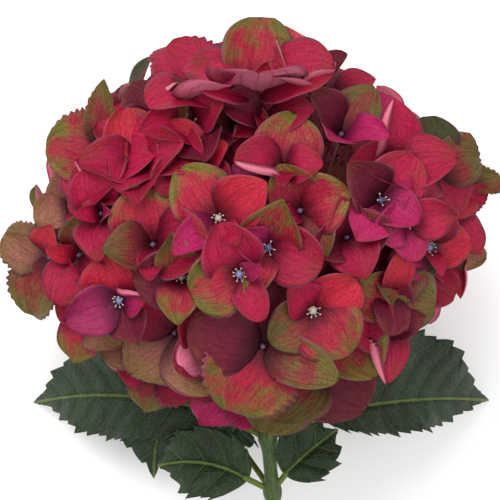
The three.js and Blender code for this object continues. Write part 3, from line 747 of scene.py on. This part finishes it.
def sepal(length, width, cup, bend, crease, edges, flaps, ruffle, phase, point, toothed, rows, columns):
    """One sepal on a grid of u across and v along, in its floret's own axes: out, sideways, up.
    Its line leaves the centre at the cup angle and turns by the bend, so it is an arc of a circle, scaled
    to its length. Each half of a cross-section is a curve that leaves the line at the crease angle and turns
    by an edge angle, and by a flap angle in its outer half where the margin is rolled. The half width is a
    power of v times a power of 1 - v, and a toothed margin adds a sawtooth of v. The margin ruffles by a
    sine of v, and the midline sinks by a bell curve."""
    v = np.linspace(0, 1, rows)
    angle = cup + bend * v
    middle = (angle[1:] + angle[:-1]) / 2
    out = np.concatenate([[0], np.cumsum(np.cos(middle))]) / (rows - 1)
    up = np.concatenate([[0], np.cumsum(np.sin(middle))]) / (rows - 1)
    size = length / max(out[-1], 0.75)
    line = np.stack([out * size + CLAW_START, np.zeros(rows), up * size], axis=-1)
    outline = v**CLAW_POWER * (1 - v) ** point
    outline = outline / outline.max()
    half = width * outline
    if toothed:
        half = half * (1 + TOOTH_SHARE * ((v * TEETH) % 1 - 0.5) * np.minimum(1, 6 * v * (1 - v)))
    side = columns // 2
    away = np.linspace(0, 1, side + 1)
    halves = []
    for sign, edge, flap in ((-1, edges[0], flaps[0]), (1, edges[1], flaps[1])):
        turned = (crease + edge * away[None]) * (0.35 + 0.65 * v[:, None])
        turned = turned + flap * step_up(away, *ROLL)[None] * step_up(v, 0.05, 0.4)[:, None]
        mean = (turned[:, 1:] + turned[:, :-1]) / 2
        aside = np.concatenate([np.zeros((rows, 1)), np.cumsum(np.cos(mean), axis=1)], axis=1) / side
        rise = np.concatenate([np.zeros((rows, 1)), np.cumsum(np.sin(mean), axis=1)], axis=1) / side
        wave = np.sin(2 * np.pi * (1.5 * v[:, None] + phase + 0.3 * sign))
        rise = rise * half[:, None] + ruffle * away**2 * wave * v[:, None] * (flap == 0)
        halves.append((sign * aside * half[:, None], rise, -sign * np.sin(turned), np.cos(turned)))
    left, right = halves
    aside, rise, tilt, level = (np.concatenate([a[:, :0:-1], b], axis=1) for a, b in zip(left, right))
    u = np.concatenate([-away[:0:-1], away])
    lean = np.stack([-np.sin(angle), np.zeros(rows), np.cos(angle)], axis=-1)
    rise = rise - FOLD_DEPTH * width * np.exp(-((u / FOLD_WIDTH) ** 2))
    skin = line[:, None] + lean[:, None] * rise[..., None]
    skin[..., 1] += aside
    normal = lean[:, None] * level[..., None]
    normal[..., 1] += tilt
    depth = SEPAL_THICKNESS * np.sqrt(1 - u**2)[None] * np.minimum(1, 5 * outline)[:, None]
    below = skin - normal * depth[..., None]
    grid = np.ones((rows, columns))
    marks = {
        "across": blade_order(grid * u, grid * u),
        "along": blade_order(grid * v[:, None], grid * v[:, None]),
        "back": blade_order(grid * 0, grid),
    }
    return blade_order(skin, below), marks


# By fold letter: length and width in shares, cup and bend added in degrees, and how far the right and the
# left margin roll in radians.
FOLDS = {
    ".": (1.0, 1.0, 0, 0, 0.0, 0.0),
    "f": (1.0, 1.0, 0, 10, 0.0, 2.6),
    "h": (1.0, 1.0, 0, 10, 2.6, 0.0),
    "u": (0.95, 1.0, 14, 10, 0.0, 0.0),
    "v": (0.95, 1.2, 28, 10, 0.0, 0.0),
    "n": (1.0, 0.62, 4, 0, 0.5, 0.5),
    "w": (1.0, 1.2, 0, 0, 0.0, 0.0),
    "s": (0.72, 1.0, 5, 0, 0.0, 0.0),
    "l": (1.16, 1.0, -4, 0, 0.0, 0.0),
    "x": (0.6, 0.7, 25, 0, 0.3, 0.3),
    "p": (0.75, 0.9, 8, 0, 0.0, 2.6),
    "q": (0.9, 1.0, 112, 0, 0.0, 0.0),
}


# Sepals grow unevenly, so each one draws its measures between two limits: length and width in shares, angles
# in degrees, the crease and the turn of each edge in radians, and colours and their spread in shares.
LENGTHS = (0.95, 1.06)
WIDTHS = (0.5, 0.6)
CUP_BASE, CUP_OUTER, CUP_INNER, CUP_SPREAD = 18, -4, 4, 4
BENDS = (-52, -14)
CREASES = (0.0, 0.36)
EDGE_TURNS = (-0.45, 0.6)
CUP_PER_EDGE_TURN = 60
RUFFLES = (0.5 * MM, 1.8 * MM)
TURN_SPREAD = 6
OUTER_HEIGHT, INNER_HEIGHT = -0.3 * MM, 0.35 * MM
BODY_SHADES = (0.86, 1.16)
RIM_SHADES = (0.85, 1.2)
SPREAD_SHIFTS = (-0.08, 0.1)
SEPAL_ROWS, TOOTHED_ROWS, SEPAL_COLUMNS = 19, 37, 13
SEPAL_SEED = 100


def floret_sepals(one, draw):
    """Points, faces and marks of a floret's four sepals. Each is made in its own axes, then turned to lie
    a quarter turn on from the one before, out from the centre and square to the floret's axis."""
    parts = []
    for k in range(4):
        tint, fold = one["tints"][k], one["folds"][k]
        body, rim, spread = TINTS[tint.lower()]
        grow, widen, raise_by, bend_by, roll_right, roll_left = FOLDS[fold]
        toothed = tint.isupper()
        rows = TOOTHED_ROWS if toothed else SEPAL_ROWS
        own_cup, height = (CUP_INNER, INNER_HEIGHT) if k % 2 else (CUP_OUTER, OUTER_HEIGHT)
        length = one["reach"] * draw.uniform(*LENGTHS) * grow
        width = length * draw.uniform(*WIDTHS) * widen
        cup = one["cup"] + CUP_BASE + own_cup + draw.uniform(-CUP_SPREAD, CUP_SPREAD) + raise_by
        bend = draw.uniform(*BENDS) + bend_by
        crease = draw.uniform(*CREASES)
        edges = draw.uniform(*EDGE_TURNS, 2) + one["cup"] / CUP_PER_EDGE_TURN
        ruffle = draw.uniform(*RUFFLES)
        phase = draw.uniform(0, 1)
        point = draw.uniform(*TIP_POWERS)
        local, marks = sepal(length, width, math.radians(cup), math.radians(bend), crease, edges,
                             (roll_right, roll_left), ruffle, phase, point, toothed, rows, SEPAL_COLUMNS)
        second = np.cross(one["axis"], one["first"])
        turn = math.radians(90 * k + draw.uniform(-TURN_SPREAD, TURN_SPREAD))
        away = one["first"] * math.cos(turn) + second * math.sin(turn)
        aside = np.cross(one["axis"], away)
        local[:, 2] += height
        points = one["centre"] + HEAD + local @ np.stack([away, aside, one["axis"]])
        marks["body"] = np.tile(rgb(*body) * draw.uniform(*BODY_SHADES), (len(points), 1))
        marks["rim"] = np.tile(rgb(*rim) * draw.uniform(*RIM_SHADES), (len(points), 1))
        marks["spread"] = np.full(len(points), spread + draw.uniform(*SPREAD_SHIFTS))
        parts.append((points, blade_faces(rows, SEPAL_COLUMNS), marks))
    return parts


def joined(parts):
    """Several parts as one: points end to end, face indices moved on, marks end to end."""
    starts = np.cumsum([0] + [len(points) for points, _, _ in parts])
    points = np.concatenate([part[0] for part in parts])
    faces = [face + start for (_, part_faces, _), start in zip(parts, starts) for face in part_faces]
    marks = {key: np.concatenate([part[2][key] for part in parts]) for key in parts[0][2]}
    return points, faces, marks


sepal_skin = sepal_material()
for number, cyme in enumerate(cymes, 1):
    draw = np.random.default_rng(SEPAL_SEED + number)
    points, faces, marks = joined([part for one in cyme for part in floret_sepals(one, draw)])
    points[:, 2] = np.maximum(points[:, 2], TABLE_GAP)
    piece = surface(f"cyme_{number:02d}_sepals", points, faces, sepal_skin, marks)
    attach(piece, "root")
    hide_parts(f"cyme_{number:02d}")

# ---- The eyes of the florets ----
# In the middle of the sepals sits the true flower: a lavender bead of four tiny petals, with short cream
# stamens round it where it has opened.
EYE_RADIUS = 1.5 * MM
EYE_HEIGHT = 1.2 * MM
EYE_SIZES = (0.85, 1.1)
SHUT_SIZE = 0.7
EYE_SQUASH = 0.8
EYE_LOBES, LOBE_DEPTH = 4, 0.14
EYE_ROWS, EYE_COLUMNS = 9, 16
EYE_SHADES = (0.85, 1.15)
EYE_SEED = 500
STAMEN_RADIUS = 0.16 * MM
STAMEN_RINGS, STAMEN_SIDES = 4, 4
STAMEN_FOOT = 0.8 * MM
STAMEN_REACHES = (1.6 * MM, 2.8 * MM)
STAMEN_RISES = (1.2 * MM, 2.8 * MM)
STAMEN_DRIFT = 0.3
STAMEN_COLOUR = (170, 150, 170)
ANTHER_RADIUS = 0.36 * MM
ANTHER_LOBES, ANTHER_LOBE_DEPTH = 2, 0.15
ANTHER_ROWS, ANTHER_COLUMNS = 5, 6
ANTHER_COLOUR = (206, 198, 168)


def eye_material():
    """Waxy bead: the colour that each part carries, mottled a little."""
    material, shader = new_material("floret_eye", 0.4, 0.45)
    tree = material.node_tree
    fine = noise(tree, 2200.0, 3.0)
    colour = mixed(tree, calc(tree, "MULTIPLY", fine, 0.4), mark_of(tree, "paint", True), rgb(120, 90, 130))
    tree.links.new(colour, shader.inputs["Base Color"])
    return material


def bead(radius, squash, lobes, depth, rows, columns):
    """A ball of rows and columns, squashed along its axis, its girth scalloped by a cosine."""
    down = np.linspace(0, np.pi, rows)[1:-1, None]
    turn = np.linspace(0, 2 * np.pi, columns, endpoint=False)[None]
    girth = radius * np.sin(down) * (1 + depth * np.cos(lobes * turn))
    height = radius * squash * np.cos(down) + 0 * turn
    ball = np.stack([girth * np.cos(turn), girth * np.sin(turn), height], -1)
    points = np.concatenate([ball.reshape(-1, 3), [[0, 0, radius * squash], [0, 0, -radius * squash]]])
    index = np.arange((rows - 2) * columns).reshape(rows - 2, columns)
    after = np.roll(index, -1, axis=1)
    walls = np.stack([index[:-1], index[1:], after[1:], after[:-1]], -1).reshape(-1, 4)
    top = np.stack([np.full(columns, index.size), index[0], after[0]], -1)
    foot = np.stack([np.full(columns, index.size + 1), after[-1], index[-1]], -1)
    return points, [walls, top, foot]


# By eye letter: the colour of the bead, and the number of open stamens.
EYES = {
    "b": ((134, 140, 184), 8),
    "w": ((188, 178, 150), 7),
    "k": ((62, 58, 92), 5),
    ".": ((84, 50, 84), 0),
}


def painted(points, faces, colour):
    """A part that carries one colour all over."""
    return points, faces, {"paint": np.tile(colour, (len(points), 1))}


def floret_eye(one, draw):
    """The bead on the floret's axis, and stamens spaced evenly round it by angle: each a curve from the
    bead's side out and up to an anther."""
    paint, stamens = EYES[one["eye"]]
    second = np.cross(one["axis"], one["first"])
    axes = np.stack([one["first"], second, one["axis"]])
    middle = one["centre"] + HEAD + one["axis"] * EYE_HEIGHT
    size = draw.uniform(*EYE_SIZES) * (1 if stamens else SHUT_SIZE)
    points, faces = bead(EYE_RADIUS * size, EYE_SQUASH, EYE_LOBES, LOBE_DEPTH, EYE_ROWS, EYE_COLUMNS)
    parts = [painted(middle + points @ axes, faces, rgb(*paint) * draw.uniform(*EYE_SHADES))]
    for k in range(stamens):
        turn = 2 * math.pi * (k + draw.uniform(-STAMEN_DRIFT, STAMEN_DRIFT)) / stamens
        out = axes[0] * math.cos(turn) + axes[1] * math.sin(turn)
        foot = middle + out * STAMEN_FOOT
        tip = middle + out * draw.uniform(*STAMEN_REACHES) + one["axis"] * draw.uniform(*STAMEN_RISES)
        over = (foot + tip) / 2 + one["axis"] * STAMEN_FOOT
        line = bezier(foot, over, tip, np.linspace(0, 1, STAMEN_RINGS))
        points, faces = tube(line, np.full(STAMEN_RINGS, STAMEN_RADIUS), STAMEN_SIDES)
        parts.append(painted(points, faces, rgb(*STAMEN_COLOUR)))
        points, faces = bead(
            ANTHER_RADIUS, EYE_SQUASH, ANTHER_LOBES, ANTHER_LOBE_DEPTH, ANTHER_ROWS, ANTHER_COLUMNS)
        parts.append(painted(points + tip, faces, rgb(*ANTHER_COLOUR)))
    return parts


eye_wax = eye_material()
for number, cyme in enumerate(cymes, 1):
    draw = np.random.default_rng(EYE_SEED + number)
    points, faces, marks = joined([part for one in cyme for part in floret_eye(one, draw)])
    points[:, 2] = np.maximum(points[:, 2], TABLE_GAP)
    piece = surface(f"cyme_{number:02d}_eyes", points, faces, eye_wax, marks)
    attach(piece, "root")
    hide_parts(f"cyme_{number:02d}")

# ---- The branchlets and pedicels ----
# Each cyme leaves its ray on one branchlet, which forks into a thin pink pedicel for every floret.
# A pedicel meets its floret square on, under the sepals.
CYME_FORK = 0.6
BRANCHLET_RADIUS = 0.95 * MM
BRANCHLET_TAPER = 0.8
BRANCHLET_RINGS, BRANCHLET_SIDES = 8, 8
PEDICEL_RADIUS = 0.6 * MM
PEDICEL_FLARE = 0.5
PEDICEL_UPRIGHT = 0.3
PEDICEL_GAP = 1.5 * MM
PEDICEL_RINGS, PEDICEL_SIDES = 12, 7
# A branchlet may leave a ray at these shares of the way from its bend to its end.
RAY_JOINS = (0.35, 0.6, 0.85, 1)


def cyme_stems(cyme, joins):
    """A straight branchlet from the nearest join to the fork, which is a share of the way from the crown
    to the florets' mean. From it each pedicel is a curve whose end lies along its floret's axis, and
    which flares by the sixth power of the way along."""
    middle = np.mean([one["centre"] for one in cyme], axis=0)
    fork = CROWN + (middle - CROWN) * CYME_FORK
    start = joins[np.argmin(np.linalg.norm(joins - fork, axis=1))]
    line = bezier(start, (start + fork) / 2, fork, np.linspace(0, 1, BRANCHLET_RINGS)) + HEAD
    radius = np.linspace(BRANCHLET_RADIUS, BRANCHLET_RADIUS * BRANCHLET_TAPER, BRANCHLET_RINGS)
    parts = [(*tube(line, radius, BRANCHLET_SIDES), {})]
    t = np.linspace(0, 1, PEDICEL_RINGS)
    for one in cyme:
        reach = np.linalg.norm(one["centre"] - fork)
        under = one["centre"] - one["axis"] * PEDICEL_UPRIGHT * reach
        line = bezier(fork, under, one["centre"], t) + HEAD
        line[:, 2] = np.maximum(line[:, 2], PEDICEL_GAP)
        parts.append((*tube(line, PEDICEL_RADIUS * (1 + PEDICEL_FLARE * t**6), PEDICEL_SIDES), {}))
    return joined(parts)


ray_lines = [ray_line(k) for k in range(RAY_COUNT)]
joins = np.array([bend + (end - bend) * share for _, bend, end in ray_lines for share in RAY_JOINS])
for number, cyme in enumerate(cymes, 1):
    points, faces, _ = cyme_stems(cyme, joins)
    piece = surface(f"cyme_{number:02d}_stems", points, faces, young_wood)
    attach(piece, "root")
    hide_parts(f"cyme_{number:02d}")

# ---- Table, light and camera ----
# A plain pale table top of matt board. Two soft boxes light it from above, and the camera looks straight
# down on the head.
TABLE_REACH = 6.0
CAMERA_HEIGHT = 1.6
FRAME_WIDTH = 0.2
SENSOR_WIDTH = 36
CAMERA_SHIFT = 10 * MM
SOFTBOX_SIZE = 1.0
floor_corners = np.array([(-1, -1, 0), (1, -1, 0), (1, 1, 0), (-1, 1, 0)]) * TABLE_REACH
floor_mesh = bpy.data.meshes.new("table_top")
floor_mesh.from_pydata(floor_corners.tolist(), [], [(0, 1, 2, 3)])
floor = bpy.data.objects.new("table_top", floor_mesh)
bpy.context.scene.collection.objects.link(floor)
floor_white, floor_shader = new_material("table_white", 0.9, 0.1)
floor_shader.inputs["Base Color"].default_value = (0.92, 0.92, 0.92, 1)
floor_shader.inputs["Emission Color"].default_value = (1, 1, 1, 1)
floor_shader.inputs["Emission Strength"].default_value = 0.1
floor_mesh.materials.append(floor_white)

world = bpy.data.worlds.new("studio")
world.use_nodes = True
world.node_tree.nodes["Background"].inputs["Color"].default_value = (1, 1, 1, 1)
world.node_tree.nodes["Background"].inputs["Strength"].default_value = 0.8
bpy.context.scene.world = world


def softbox(name, place, watts):
    """A square area light whose axis runs from its place to the head."""
    light = bpy.data.lights.new(name, "AREA")
    light.size = SOFTBOX_SIZE
    light.energy = watts
    lamp = bpy.data.objects.new(name, light)
    bpy.context.scene.collection.objects.link(lamp)
    lamp.location = place
    lamp.rotation_euler = (Vector(HEAD) - Vector(place)).to_track_quat("-Z", "Y").to_euler()


softbox("key", (-0.5, 0.9, 1.6), 24)
softbox("fill", (0.9, -0.2, 1.6), 9)

camera = bpy.data.cameras.new("camera")
camera.sensor_width = SENSOR_WIDTH
camera.lens = SENSOR_WIDTH * CAMERA_HEIGHT / FRAME_WIDTH
camera.clip_end = 50
camera_object = bpy.data.objects.new("camera", camera)
camera_object.location = (HEAD[0], HEAD[1] - CAMERA_SHIFT, HEAD[2] + CAMERA_HEIGHT)
bpy.context.scene.collection.objects.link(camera_object)
bpy.context.scene.camera = camera_object
bpy.context.scene.view_settings.view_transform = "Standard"
